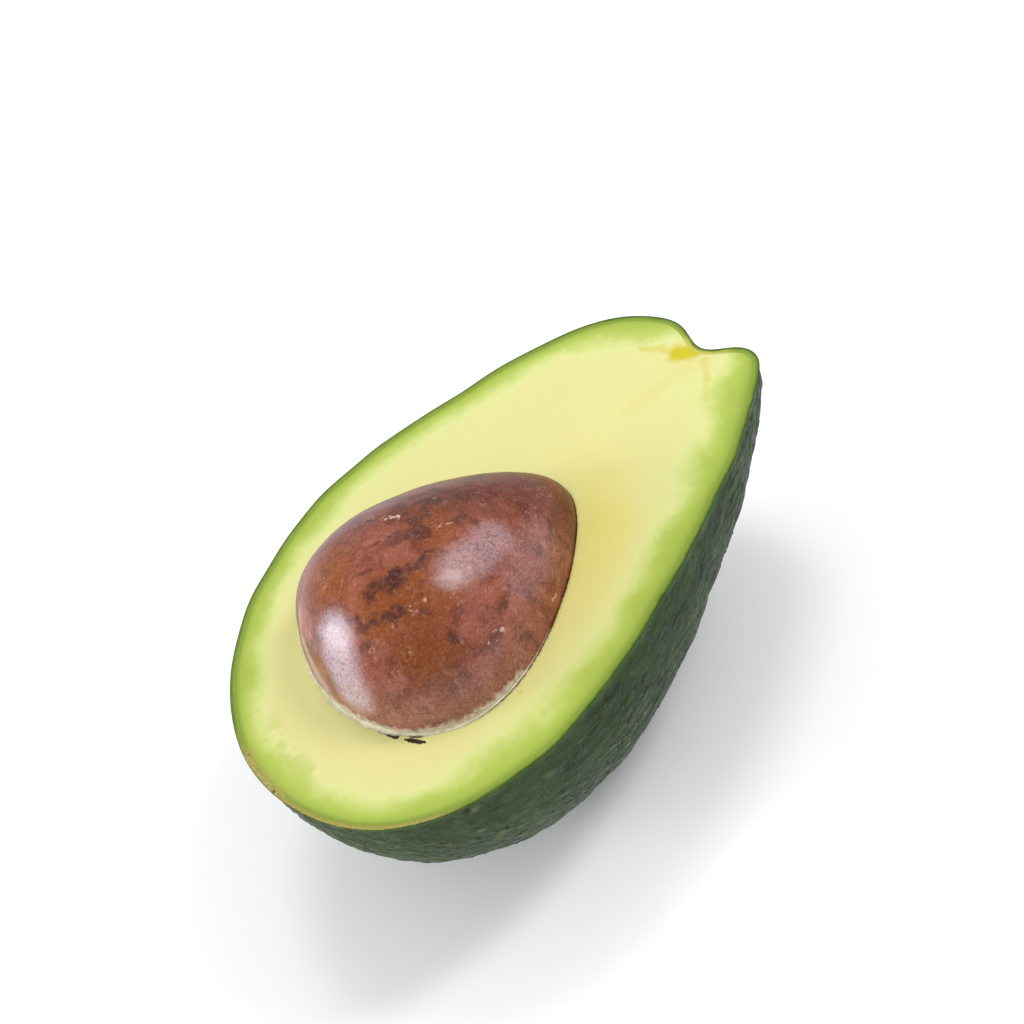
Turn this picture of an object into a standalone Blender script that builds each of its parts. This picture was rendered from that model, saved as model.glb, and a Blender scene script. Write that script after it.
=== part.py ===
"""Half an avocado, cut lengthwise and lying on its back, with the stone still in it.

Three pieces come apart by hand: the skin, the flesh that scoops out of it, and the stone that lifts out of the
flesh. Each starts as a ball that is drawn out to its own form. The cut face is level, +X runs along the fruit
from its blunt end to its stem end, +Z is up, and the origin is under the middle of the half, on the surface
that it rests on. Units are metres.
"""

import math

import bmesh
import bpy
from mathutils import Matrix, Vector

MM = 0.001

# The fruit. Each list is read along the fruit, at even steps of angle round the ball that it is drawn out from,
# from the blunt end to the stem end.
LENGTH = 106 * MM  # before the dent at the stem end shortens it by about 1 mm
SHIFT = 0.5 * MM  # brings the middle of the dented fruit over the origin
FULLNESS = (0.84, 0.765, 0.715, 0.65, 0.595, 0.675, 1.03)  # half-width over that of a ball of the same length
MIDLINE = (-3.2 * MM, -2.3 * MM, -0.8 * MM, 0.1 * MM, -2.8 * MM, -5.7 * MM, -10.3 * MM)  # sideways sway
DEPTH_RATIO = (1.05, 1.10, 1.15, 1.22, 1.12, 1.00, 0.98)  # depth below the cut face over half-width
SECTION_POWER = 2.2  # 2 makes each cross-section an ellipse, more makes its flanks fuller
SETTLED = 0.7 * MM  # how far the lowest skin is pressed flat where it rests

# The dent that the stem left.
STEM_Y = -10.3 * MM
STEM_DENT_DEPTH = 4.2 * MM
STEM_DENT_RADIUS = 5.4 * MM
STEM_DENT_REACH = 12 * MM  # how far back from the stem end the dent is felt

SKIN_THICKNESS = 1.1 * MM
SKIN_GAP = 0.3 * MM  # between the skin and the flesh

# The stone, an egg that lies half sunk in the flesh.
STONE_LENGTH = 51 * MM
STONE_WIDTH = 40 * MM  # across its middle
STONE_POINTEDNESS = 0.37  # 0 is an ellipsoid
STONE_X = -9.5 * MM
STONE_Y = -1.4 * MM
STONE_TURN = math.radians(-8.5)  # its point turns towards the -Y flank
STONE_GAP = 0.4 * MM

FRUIT_SEGMENTS = 32
FRUIT_RINGS = 56
STONE_SEGMENTS = 24
STONE_RINGS = 20


def read_along(values, height):
    """The smooth curve through evenly spaced values, read at a height on the unit ball, from -1 to 1."""
    steps = len(values) - 1
    place = steps * (1 - math.acos(max(-1, min(1, height))) / math.pi)
    span = min(int(place), steps - 1)
    local = place - span
    start = values[span]
    end = values[span + 1]
    rise_at_start = (end - values[max(span - 1, 0)]) / 2
    rise_at_end = (values[min(span + 2, steps)] - start) / 2
    return (
        start * (1 + 2 * local) * (1 - local) ** 2
        + rise_at_start * local * (1 - local) ** 2
        + end * (3 - 2 * local) * local**2
        - rise_at_end * (1 - local) * local**2
    )


def width_scale(height):
    """What the unit ball's ring at a height is scaled by across the fruit."""
    return LENGTH / 2 * read_along(FULLNESS, height)


def depth_scale(height):
    """What the unit ball's ring at a height is scaled by up and down."""
    return width_scale(height) * read_along(DEPTH_RATIO, height)


def deepest():
    """How far the roundest fruit reaches below its cut face."""
    heights = [step / 500 for step in range(-500, 501)]
    return max(depth_scale(height) * math.sqrt(1 - height**2) for height in heights)


FACE_HEIGHT = deepest() - SETTLED


def squared_off(value, radius):
    """One coordinate of a point on a ring, moved so that the ring is a little fuller than a circle."""
    if radius < 1e-9:
        return 0.0
    return math.copysign((abs(value) / radius) ** (2 / SECTION_POWER) * radius, value)


def stem_dent(x, y, z):
    """How far the stem dent pulls a point back from the stem end."""
    off_axis = math.hypot(y - STEM_Y, z - FACE_HEIGHT) / STEM_DENT_RADIUS
    from_end = max(LENGTH / 2 - x, 0) / STEM_DENT_REACH
    return STEM_DENT_DEPTH * math.exp(-(off_axis**2)) * math.exp(-(from_end**2))


def fruit_point(ball):
    """Where a point of the unit ball goes on the outside of the fruit. The ball's +Z pole is the stem end."""
    radius = math.hypot(ball.x, ball.y)
    x = LENGTH / 2 * ball.z + SHIFT
    y = read_along(MIDLINE, ball.z) + width_scale(ball.z) * squared_off(ball.x, radius)
    z = max(FACE_HEIGHT + depth_scale(ball.z) * squared_off(ball.y, radius), 0)
    return Vector((x - stem_dent(x, y, z), y, z))


def stone_point(ball):
    """Where a point of the unit ball goes on the stone. The ball's +Z pole is the stone's point."""
    half_width = STONE_WIDTH / 2 * (1 - STONE_POINTEDNESS * ball.z)
    return Vector((STONE_LENGTH / 2 * ball.z, half_width * ball.x, half_width * ball.y))


def shaped_ball(name, segments, rings, place, inset=0.0):
    """A mesh made from a ball by moving each of its points, then drawn in (or out) by an inset."""
    shape = bmesh.new()
    bmesh.ops.create_uvsphere(shape, u_segments=segments, v_segments=rings, radius=1)
    half_segment = Matrix.Rotation(math.pi / segments, 4, "Z")
    bmesh.ops.rotate(shape, verts=shape.verts, matrix=half_segment)
    for vertex in shape.verts:
        vertex.co = place(vertex.co)
    shape.normal_update()
    outwards = {vertex: vertex.normal.copy() for vertex in shape.verts}
    for vertex, normal in outwards.items():
        vertex.co -= inset * normal
    mesh = bpy.data.meshes.new(name)
    shape.to_mesh(mesh)
    shape.free()
    mesh.shade_smooth()
    return mesh


def new_object(name, mesh, collection, parent=None):
    made = bpy.data.objects.new(name, mesh)
    collection.objects.link(made)
    made.parent = parent
    return made


def new_material(name, colour, roughness):
    material = bpy.data.materials.new(name)
    material.use_nodes = True
    shader = material.node_tree.nodes["Principled BSDF"]
    shader.inputs["Base Color"].default_value = (*colour, 1)
    shader.inputs["Roughness"].default_value = roughness
    shader.inputs["Metallic"].default_value = 0
    return material


def cut_away(piece, cutter):
    cut = piece.modifiers.new("cut by " + cutter.name, "BOOLEAN")
    cut.operation = "DIFFERENCE"
    cut.solver = "EXACT"
    cut.object = cutter


def new_cutter(name, mesh, collection):
    cutter = new_object(name, mesh, collection)
    cutter.hide_render = True
    cutter.display_type = "WIRE"
    return cutter


def make_knife(collection):
    """The block that takes away everything above the cut face."""
    side = 2 * LENGTH
    block = bmesh.new()
    bmesh.ops.create_cube(block, size=side)
    bmesh.ops.translate(block, verts=block.verts, vec=(0, 0, FACE_HEIGHT + side / 2))
    mesh = bpy.data.meshes.new("knife")
    block.to_mesh(mesh)
    block.free()
    return new_cutter("knife", mesh, collection)


def make_skin(collection, cutters, parent, knife):
    """The leathery rind: the outside of the fruit, hollowed to one wall thickness and cut level."""
    mesh = shaped_ball("skin", FRUIT_SEGMENTS, FRUIT_RINGS, fruit_point)
    hollow_mesh = shaped_ball("skin_hollow", FRUIT_SEGMENTS, FRUIT_RINGS, fruit_point, SKIN_THICKNESS)
    hollow = new_cutter("skin_hollow", hollow_mesh, cutters)
    skin = new_object("skin", mesh, collection, parent)
    cut_away(skin, hollow)
    cut_away(skin, knife)
    skin.data.materials.append(new_material("skin_green", (0.035, 0.085, 0.045), 0.42))


def lay_stone(piece):
    piece.location = (STONE_X, STONE_Y, FACE_HEIGHT)
    piece.rotation_euler.z = STONE_TURN


def make_flesh(collection, cutters, parent, knife):
    """The flesh: fills the skin up to the cut face, with a socket that the stone lies in."""
    inset = SKIN_THICKNESS + SKIN_GAP
    mesh = shaped_ball("flesh", FRUIT_SEGMENTS, FRUIT_RINGS, fruit_point, inset)
    socket_mesh = shaped_ball("stone_socket", STONE_SEGMENTS, STONE_RINGS, stone_point, -STONE_GAP)
    socket = new_cutter("stone_socket", socket_mesh, cutters)
    lay_stone(socket)
    flesh = new_object("flesh", mesh, collection, parent)
    cut_away(flesh, socket)
    cut_away(flesh, knife)
    flesh.data.materials.append(new_material("flesh_yellow_green", (0.80, 0.78, 0.30), 0.45))


def make_stone(collection, parent):
    """The stone, whole: its lower half lies in the socket and its upper half stands above the cut face."""
    mesh = shaped_ball("stone", STONE_SEGMENTS, STONE_RINGS, stone_point)
    stone = new_object("stone", mesh, collection, parent)
    lay_stone(stone)
    stone.data.materials.append(new_material("stone_brown", (0.24, 0.085, 0.045), 0.35))


def new_collection(name):
    collection = bpy.data.collections.new(name)
    bpy.context.scene.collection.children.link(collection)
    return collection


def main():
    for old in list(bpy.data.objects):
        bpy.data.objects.remove(old)
    parts = new_collection("avocado_half")
    cutters = new_collection("cutters")
    middle = bpy.data.objects.new("avocado_half_origin", None)
    parts.objects.link(middle)
    knife = make_knife(cutters)
    make_skin(parts, cutters, middle, knife)
    make_flesh(parts, cutters, middle, knife)
    make_stone(parts, middle)


main()
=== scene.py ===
"""Half an avocado, cut lengthwise, lying on its back with its stone in it, for the 3D view's sidebar.

It is laid out as an add-on and run as a script. Every size is in metres, in the frame of the packed part:
+X runs along the fruit to its stem end, +Z is up, and the cut face is level.
"""

import math

import bmesh
import bpy
import numpy as np
from bpy.props import FloatProperty, FloatVectorProperty, IntProperty, PointerProperty
from mathutils import Matrix, Vector, noise


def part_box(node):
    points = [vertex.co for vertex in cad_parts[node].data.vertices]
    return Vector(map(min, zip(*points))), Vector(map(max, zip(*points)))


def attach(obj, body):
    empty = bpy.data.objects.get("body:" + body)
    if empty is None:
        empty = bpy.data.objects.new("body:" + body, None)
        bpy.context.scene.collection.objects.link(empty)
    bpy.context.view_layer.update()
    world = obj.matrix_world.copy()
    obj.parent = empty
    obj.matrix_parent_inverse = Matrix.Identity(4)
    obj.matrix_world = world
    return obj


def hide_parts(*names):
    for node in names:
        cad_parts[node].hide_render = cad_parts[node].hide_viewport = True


bl_info = {
    "name": "Avocado Half",
    "version": (1, 0, 0),
    "blender": (4, 5, 0),
    "location": "3D View > Sidebar > Avocado",
    "description": "Builds half an avocado with its stone, and the stage that it is shown on",
    "category": "Object",
}

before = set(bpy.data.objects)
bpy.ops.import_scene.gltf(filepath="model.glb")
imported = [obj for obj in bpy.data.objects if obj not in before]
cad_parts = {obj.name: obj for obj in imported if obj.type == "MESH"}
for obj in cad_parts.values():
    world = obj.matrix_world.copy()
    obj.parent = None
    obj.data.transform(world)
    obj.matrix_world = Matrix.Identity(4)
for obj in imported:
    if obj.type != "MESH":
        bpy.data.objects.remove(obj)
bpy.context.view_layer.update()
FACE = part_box("flesh")[1][2]  # height of the cut face
MM = 0.001
LOWEST = np.array([[0.0, -1.0, 0.0]])  # the direction of the unit ball's lowest point
SOFT_FLAT = 0.2 * MM  # how gently the rind turns into the flat spot that it rests on
SHARP_ANGLE = math.radians(50)  # edges that turn more than this stay sharp
LIT_PLACE = Vector((-0.02, 0, 0.05))  # what the lights face

# Yellow fibres in the cut face: start and end from the bottom of the stem dent, half-width and strength.
# Lengths in this table and the next ones are in millimetres.
FIBRES = (
    ((-1.0, 1.4), (-2.2, 3.2), 2.6, 1.0),
    ((-2.0, 3.0), (-3.8, 10.0), 1.0, 0.45),
    ((-2.0, -1.6), (-5.0, -4.6), 0.9, 0.30),
    ((-5.0, -4.6), (-9.0, -7.0), 0.9, 0.22),
    ((-4.0, 0.0), (-16.0, 4.0), 2.0, 0.10),
)

# Slits between flesh and stone, painted dark as their shade: start and end from the stone's middle, and
# half-width.
SLITS = (
    ((-25.7, -4.6), (-25.3, -8.2), 0.34),
    ((-25.4, -6.6), (-25.2, -8.1), 0.60),
    ((-24.9, -9.7), (-23.9, -13.0), 0.36),
    ((-24.7, -10.4), (-24.2, -12.3), 0.66),
)

# Marks on the stone, from its middle. Worn patches: place, radius and strength. The others: start, end,
# half-width and, for the bloom and painted highlights, strength.
WORN_PATCHES = (
    (-13.5, -6.0, 18.5, 10.0, 0.95),
    (-7.0, -9.5, 18.0, 8.0, 0.85),
    (-13.0, 7.0, 19.0, 8.0, 0.80),
    (3.0, -3.0, 18.5, 7.5, 0.65),
    (-15.5, -13.5, 13.0, 8.5, 0.80),
)
# Pale lilac strokes, partly the coat's dusty bloom and partly painted highlights and sheen where the lamps and
# bright surroundings are reflected
BLOOM_AND_HIGHLIGHTS = (
    ((-20.5, 1.5, 15.0), (-24.5, -1.5, 7.0), 5.6, 0.80),
    ((-22.0, 11.5, 8.5), (-24.5, 6.5, 4.0), 2.6, 0.55),
    ((-18.5, 12.5, 12.5), (-22.0, 11.5, 8.5), 1.6, 0.40),
    ((-2.5, -10.5, 17.0), (6.0, -10.5, 14.0), 4.8, 0.36),
    ((4.0, -16.0, 8.5), (11.0, -13.0, 8.0), 6.0, 0.13),
)
BLOTCHES = (
    ((-13.5, -3.0, 20.0), (-9.5, -4.6, 20.3), 2.3),
    ((-9.5, -4.6, 20.3), (-3.5, -6.5, 19.3), 1.5),
    ((-15.0, -6.7, 18.1), (-13.5, -8.0, 18.0), 1.9),
    ((-2.5, -2.0, 20.3), (-1.0, -2.8, 20.1), 2.0),
    ((-16.5, -5.0, 17.8), (-17.5, -2.5, 17.5), 1.4),
    ((-11.0, -14.7, 13.6), (-10.8, -14.9, 13.3), 1.2),
    ((2.3, -17.3, 7.2), (3.0, -17.2, 7.0), 1.1),
    ((9.5, -13.9, 8.1), (10.0, -13.7, 8.0), 0.9),
    ((5.0, 2.0, 18.0), (9.0, -1.0, 16.5), 1.4),
)
SCRATCHES = (
    ((-2.0, 6.0, 19.3), (0.5, 3.0, 19.9), 0.45),
    ((0.5, 3.0, 19.9), (-1.0, 1.8, 20.2), 0.40),
    ((5.5, 2.6, 17.6), (7.0, 1.4, 17.3), 0.40),
    ((2.0, -3.6, 18.9), (3.4, -4.8, 18.2), 0.45),
    ((-6.5, -17.6, 10.0), (-4.8, -18.2, 9.0), 0.50),
    ((-8.4, -18.2, 8.6), (-7.8, -18.6, 7.6), 0.55),
    ((5.6, -17.3, 3.4), (6.2, -17.4, 1.8), 0.45),
    ((-11.5, -9.0, 18.0), (-10.0, -10.0, 17.6), 0.40),
)


# Settings


class FruitForm(bpy.types.PropertyGroup):
    """The outside of the fruit. The lists run from the blunt end to the stem end, at even steps of angle."""

    length: FloatProperty(
        name="Length", description="Blunt end to stem end, before the stem dent shortens it",
        default=106 * MM, unit="LENGTH",
    )
    shift: FloatProperty(
        name="Shift", description="Brings the middle of the dented fruit over the origin",
        default=0.5 * MM, unit="LENGTH",
    )
    fullness: FloatVectorProperty(
        name="Fullness", description="Half-width over that of a ball of the same length",
        size=7, default=(0.84, 0.765, 0.715, 0.65, 0.595, 0.675, 1.03),
    )
    midline: FloatVectorProperty(
        name="Midline", description="How far the middle sways sideways",
        size=7, unit="LENGTH",
        default=(-3.2 * MM, -2.3 * MM, -0.8 * MM, 0.1 * MM, -2.8 * MM, -5.7 * MM, -10.3 * MM),
    )
    depth_ratio: FloatVectorProperty(
        name="Depth ratio", description="Depth below the cut face over half-width",
        size=7, default=(1.05, 1.10, 1.15, 1.22, 1.12, 1.00, 0.98),
    )
    section_power: FloatProperty(
        name="Section power", description="2 makes each cross-section an ellipse, more makes its flanks fuller",
        default=2.2,
    )
    lump_size: FloatProperty(
        name="Lump size", description="Length of the low lumps that make the outline a little uneven",
        default=21 * MM, unit="LENGTH",
    )
    lump_height: FloatProperty(
        name="Lump height", description="Height of the low lumps", default=0.13 * MM, unit="LENGTH"
    )
    dent_y: FloatProperty(
        name="Dent place", description="Where the stem dent sits across the fruit",
        default=-10.3 * MM, unit="LENGTH",
    )
    dent_depth: FloatProperty(
        name="Dent depth", description="Depth of the dent that the stem left",
        default=4.2 * MM, unit="LENGTH",
    )
    dent_radius: FloatProperty(
        name="Dent radius", description="Radius of the dent that the stem left",
        default=5.4 * MM, unit="LENGTH",
    )
    dent_reach: FloatProperty(
        name="Dent reach", description="How far back from the stem end the dent is felt",
        default=12 * MM, unit="LENGTH",
    )


class SkinSettings(bpy.types.PropertyGroup):
    """The rind and its pebbled surface."""

    thickness: FloatProperty(
        name="Thickness", description="Wall thickness of the rind", default=1.1 * MM, unit="LENGTH"
    )
    pebble_size: FloatProperty(
        name="Pebble size", description="Width of one pebble of the surface",
        default=2.2 * MM, unit="LENGTH",
    )
    pebble_height: FloatProperty(
        name="Pebble height", description="Height of a pebble over the creases round it",
        default=0.24 * MM, unit="LENGTH",
    )
    ripple_size: FloatProperty(
        name="Ripple size", description="Width of the broad swells under the pebbles",
        default=7 * MM, unit="LENGTH",
    )
    ripple_height: FloatProperty(
        name="Ripple height", description="Height of the broad swells under the pebbles",
        default=0.38 * MM, unit="LENGTH",
    )
    speck_count: IntProperty(
        name="Specks", description="How many corky specks the surface carries", default=420
    )
    dark: FloatVectorProperty(
        name="Dark green", description="Colour of the rind in its creases",
        subtype="COLOR", default=(0.007, 0.024, 0.003),
    )
    green: FloatVectorProperty(
        name="Green", description="Main colour of the rind", subtype="COLOR", default=(0.026, 0.068, 0.013)
    )
    inner: FloatVectorProperty(
        name="Inner green", description="Colour of the cut edge where the rind meets the flesh",
        subtype="COLOR", default=(0.215, 0.30, 0.042),
    )
    tan: FloatVectorProperty(
        name="Tan", description="Colour of the dried cut edge at the blunt end",
        subtype="COLOR", default=(0.40, 0.36, 0.10),
    )


class FleshSettings(bpy.types.PropertyGroup):
    """The flesh, its cut face and the socket of the stone."""

    skin_gap: FloatProperty(
        name="Gap to the rind", description="Gap between the flesh and the rind",
        default=0.012 * MM, unit="LENGTH",
    )
    lip: FloatProperty(
        name="Lip", description="Radius of the rounded edge of the stone's socket",
        default=0.18 * MM, unit="LENGTH",
    )
    waviness: FloatProperty(
        name="Waviness", description="How far the knife left the cut face from flat",
        default=0.16 * MM, unit="LENGTH",
    )
    edge_green: FloatVectorProperty(
        name="Edge green", description="Colour of the flesh right under the rind",
        subtype="COLOR", default=(0.232, 0.318, 0.045),
    )
    lime: FloatVectorProperty(
        name="Lime", description="Colour of the green flesh near the rind",
        subtype="COLOR", default=(0.40, 0.495, 0.090),
    )
    cream: FloatVectorProperty(
        name="Cream", description="Colour of the pale flesh in the middle",
        subtype="COLOR", default=(0.668, 0.636, 0.268),
    )
    ochre: FloatVectorProperty(
        name="Ochre", description="Colour of the warm flesh beside the stone",
        subtype="COLOR", default=(0.65, 0.57, 0.130),
    )
    yellow: FloatVectorProperty(
        name="Yellow", description="Colour of the fibres at the stem dent",
        subtype="COLOR", default=(0.54, 0.47, 0.016),
    )


class StoneSettings(bpy.types.PropertyGroup):
    """The stone, an egg that lies half sunk in the flesh."""

    length: FloatProperty(name="Length", description="Blunt end to point", default=51 * MM, unit="LENGTH")
    width: FloatProperty(
        name="Width", description="Width across the middle", default=40 * MM, unit="LENGTH"
    )
    pointedness: FloatProperty(
        name="Pointedness", description="0 is an ellipsoid, more draws out the point", default=0.37
    )
    centre: FloatVectorProperty(
        name="Centre", description="Middle of the stone, at the height of the cut face",
        size=3, default=(-9.5 * MM, -1.4 * MM, FACE), unit="LENGTH",
    )
    turn: FloatProperty(
        name="Turn", description="How far the point turns across the fruit",
        default=math.radians(-8.5), subtype="ANGLE",
    )
    unevenness: FloatProperty(
        name="Unevenness", description="Height of the low bumps of the stone",
        default=0.45 * MM, unit="LENGTH",
    )
    orange: FloatVectorProperty(
        name="Orange brown", description="Colour where the coat is worn",
        subtype="COLOR", default=(0.245, 0.059, 0.004),
    )
    red: FloatVectorProperty(
        name="Red brown", description="Main colour of the coat",
        subtype="COLOR", default=(0.178, 0.036, 0.013),
    )
    mauve: FloatVectorProperty(
        name="Mauve", description="Colour of the dusty bloom on the coat",
        subtype="COLOR", default=(0.27, 0.084, 0.062),
    )
    blotch: FloatVectorProperty(
        name="Blotch", description="Colour of the dark blotches",
        subtype="COLOR", default=(0.050, 0.010, 0.007),
    )


class StageSettings(bpy.types.PropertyGroup):
    """The floor, the light and the camera."""

    floor_size: FloatProperty(
        name="Floor size", description="Side of the square floor", default=6.0, unit="LENGTH"
    )
    floor_colour: FloatVectorProperty(
        name="Floor colour", description="Colour of the floor", subtype="COLOR", default=(0.93, 0.93, 0.935)
    )
    focal_length: FloatProperty(
        name="Focal length", description="Focal length of the camera", default=85.0, unit="CAMERA"
    )


# Forms, worked out over many points at once


def read_along(values, height):
    """The smooth curve through evenly spaced values, read at heights on the unit ball, from -1 to 1."""
    values = np.array(values)
    steps = len(values) - 1
    place = steps * (1 - np.arccos(np.clip(height, -1, 1)) / math.pi)
    span = np.minimum(place.astype(int), steps - 1)
    local = place - span
    start = values[span]
    end = values[span + 1]
    rise_at_start = (end - values[np.maximum(span - 1, 0)]) / 2
    rise_at_end = (values[np.minimum(span + 2, steps)] - start) / 2
    return (
        start * (1 + 2 * local) * (1 - local) ** 2
        + rise_at_start * local * (1 - local) ** 2
        + end * (3 - 2 * local) * local**2
        - rise_at_end * (1 - local) * local**2
    )


def squared_off(value, radius, power):
    """Coordinates on rings, moved so that each ring is a little fuller than a circle."""
    share = np.abs(value) / np.maximum(radius, 1e-9)
    return np.sign(value) * share ** (2 / power) * radius


def fruit_place(form):
    """A function that moves points of the unit ball to the outside of the fruit."""

    def place(ball):
        radius = np.hypot(ball[:, 0], ball[:, 1])
        round_it = np.arctan2(ball[:, 1], ball[:, 0])
        # Low lumps: two waves along the fruit, of lengths that don't fit each other, bent as they go round it.
        step = 2 * math.pi * (form.length / 2) / form.lump_size
        lumps = np.sin(step * np.arccos(np.clip(ball[:, 2], -1, 1)) + 1.3 * np.sin(3 * round_it))
        lumps += 0.6 * np.sin(1.83 * step * ball[:, 2] + 2.0 * np.cos(2 * round_it) + 1.0)
        lumps *= radius * form.lump_height
        width = form.length / 2 * read_along(form.fullness, ball[:, 2]) + lumps
        depth = width * read_along(form.depth_ratio, ball[:, 2])
        x = form.length / 2 * ball[:, 2] + form.shift
        y = read_along(form.midline, ball[:, 2]) + width * squared_off(ball[:, 0], radius, form.section_power)
        z = FACE + depth * squared_off(ball[:, 1], radius, form.section_power)
        z = (z + np.sqrt(z**2 + SOFT_FLAT**2)) / 2
        off_axis = np.hypot(y - form.dent_y, z - FACE) / form.dent_radius
        from_end = np.maximum(form.length / 2 - x, 0) / form.dent_reach
        x = x - form.dent_depth * np.exp(-(off_axis**2)) * np.exp(-(from_end**2))
        return np.stack([x, y, z], axis=1)

    return place


def stone_place(stone):
    """A function that moves points of the unit ball to the outside of the stone."""

    def place(ball):
        half_width = stone.width / 2 * (1 - stone.pointedness * ball[:, 2])
        along = stone.length / 2 * ball[:, 2]
        across = half_width * ball[:, 0]
        up = half_width * ball[:, 1]
        cos, sin = math.cos(stone.turn), math.sin(stone.turn)
        turned = np.stack([along * cos - across * sin, along * sin + across * cos, up], axis=1)
        return turned + np.array(stone.centre)

    return place


def moved_out(place, ball, distance):
    """Points of a form, moved out from its surface by a distance (or one distance for each point)."""
    side = np.where(np.abs(ball[:, 2:3]) < 0.9, [[0.0, 0.0, 1.0]], [[1.0, 0.0, 0.0]])
    first = np.cross(ball, side)
    first /= np.linalg.norm(first, axis=1, keepdims=True)
    second = np.cross(ball, first)
    step = 2e-3  # on the unit ball
    along_first = place(ball + step * first) - place(ball - step * first)
    along_second = place(ball + step * second) - place(ball - step * second)
    outward = np.cross(along_first, along_second)
    outward /= np.linalg.norm(outward, axis=1, keepdims=True)
    return place(ball) + np.reshape(distance, (-1, 1)) * outward


def half_ball(cells):
    """Directions over the lower half of the unit ball, as a square grid whose border is the rim."""
    line = np.linspace(-1, 1, cells + 1)
    across, along = (grid.ravel() for grid in np.meshgrid(line, line))
    wide = np.abs(across) > np.abs(along)
    reach = np.where(wide, across, along)
    ratio = np.where(wide, along, across) / np.where(reach == 0, 1, reach)
    turn = np.where(wide, ratio * math.pi / 4, math.pi / 2 - ratio * math.pi / 4)
    tilt = np.abs(reach) * math.pi / 2
    ring = np.sign(reach) * np.sin(tilt)
    return np.stack([ring * np.cos(turn), -np.cos(tilt), ring * np.sin(turn)], axis=1)


def lowered(rim, slope):
    """Directions on the unit ball's rim, turned down towards its lowest point."""
    return math.cos(slope) * rim + math.sin(slope) * LOWEST[0]


def grid_faces(cells):
    """Faces of a square grid."""
    corner = np.arange(cells)[:, None] * (cells + 1) + np.arange(cells)[None, :]
    corner = corner.ravel()
    return np.stack([corner, corner + 1, corner + cells + 2, corner + cells + 1], axis=1)


def grid_border(cells):
    """The points round the border of a square grid, in order."""
    side = cells + 1
    bottom = np.arange(cells)
    right = np.arange(cells) * side + cells
    top = side * side - 1 - np.arange(cells)
    left = (cells - np.arange(cells)) * side
    return np.concatenate([bottom, right, top, left])


def band_faces(first, second):
    """Faces between two closed rings of the same count."""
    return np.stack([first, np.roll(first, -1), np.roll(second, -1), second], axis=1)


def fan_faces(ring, tip):
    """Faces that close a ring to one point."""
    return np.stack([ring, np.roll(ring, -1), np.full(len(ring), tip)], axis=1)


def rough(points, size, seed, octaves=3):
    """Smooth noise at each point, from about -1 to 1."""
    offset = Vector((seed * 13.7, seed * 5.1, seed * 9.3))
    return np.array([noise.fractal(Vector(p) / size + offset, 1.0, 2.0, octaves) for p in points])


def half_turns(angle):
    """Angles brought within half a turn either way."""
    return (angle + math.pi) % (2 * math.pi) - math.pi


def dried_part(points):
    """Where the cut has dried: round the blunt end of the rim, on the near side."""
    from_blunt = smooth_step(-30 * MM, -43 * MM, points[:, 0] - 0.15 * points[:, 1])
    return from_blunt * smooth_step(19 * MM, 10 * MM, points[:, 1])


def corky_part(points):
    """Where the dried cut is widest and corky, on the near side of the blunt end."""
    away = np.hypot(points[:, 0] + 49 * MM, points[:, 1] - 6.5 * MM)
    return smooth_step(9 * MM, 4 * MM, away)


def smooth_step(low, high, value):
    """0 up to low, 1 from high on, and a smooth rise between. Where low is the higher, it falls instead."""
    share = np.clip((value - low) / (high - low), 0, 1)
    return share * share * (3 - 2 * share)


# Blender objects


def new_mesh(name, points, faces):
    """A smooth mesh from points and lists of faces, turned over as a whole if its volume is negative."""
    mesh = bpy.data.meshes.new(name)
    corners = [tuple(int(i) for i in face) for part in faces for face in part]
    mesh.from_pydata([tuple(point) for point in points], [], corners)
    mesh.update()
    shape = bmesh.new()
    shape.from_mesh(mesh)
    if shape.calc_volume(signed=True) < 0:
        bmesh.ops.reverse_faces(shape, faces=shape.faces)
        shape.to_mesh(mesh)
    shape.free()
    mesh.shade_smooth()
    mesh.set_sharp_from_angle(angle=SHARP_ANGLE)
    return mesh


def new_object(name, mesh):
    """An object in the scene, at the origin."""
    piece = bpy.data.objects.new(name, mesh)
    bpy.context.scene.collection.objects.link(piece)
    return piece


def mark_points(mesh, **marks):
    """Stores a number or a vector for each point of a mesh, under each mark's name."""
    for name, values in marks.items():
        values = np.asarray(values, dtype=np.float32)
        kind, key = ("FLOAT_VECTOR", "vector") if values.ndim == 2 else ("FLOAT", "value")
        mesh.attributes.new(name, kind, "POINT").data.foreach_set(key, values.ravel())


def finish_piece(piece, nodes):
    """Fixes a finished piece to the part's only body, in place of the plain solids that it stands for."""
    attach(piece, "root")
    if nodes:
        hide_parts(*nodes)


def keep_result(piece):
    """Swaps a piece's mesh for what its modifiers make of it, and removes them."""
    graph = bpy.context.evaluated_depsgraph_get()
    made = bpy.data.meshes.new_from_object(piece.evaluated_get(graph), depsgraph=graph)
    piece.modifiers.clear()
    piece.data = made


# Node trees


def add_node(tree, kind, inputs=None, **settings):
    """Adds a node, sets it up, and gives each input its value or its link."""
    node = tree.nodes.new(kind)
    for name, value in settings.items():
        setattr(node, name, value)
    for name, value in (inputs or {}).items():
        socket = node.inputs[name]
        if isinstance(value, bpy.types.NodeSocket):
            tree.links.new(value, socket)
        else:
            socket.default_value = value
    return node


def calculate(tree, operation, first, second=0.0, clamp=False):
    """The result of one sum."""
    inputs = {0: first, 1: second}
    return add_node(tree, "ShaderNodeMath", inputs, operation=operation, use_clamp=clamp).outputs[0]


def plus(tree, first, second, clamp=False):
    return calculate(tree, "ADD", first, second, clamp)


def times(tree, first, second):
    return calculate(tree, "MULTIPLY", first, second)


def vector(tree, operation, first, second, output=0):
    """The result of one sum on vectors."""
    return add_node(tree, "ShaderNodeVectorMath", {0: first, 1: second}, operation=operation).outputs[output]


def scaled(tree, first, size):
    """A vector made longer or shorter."""
    return add_node(tree, "ShaderNodeVectorMath", {0: first, "Scale": size}, operation="SCALE").outputs[0]


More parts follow.
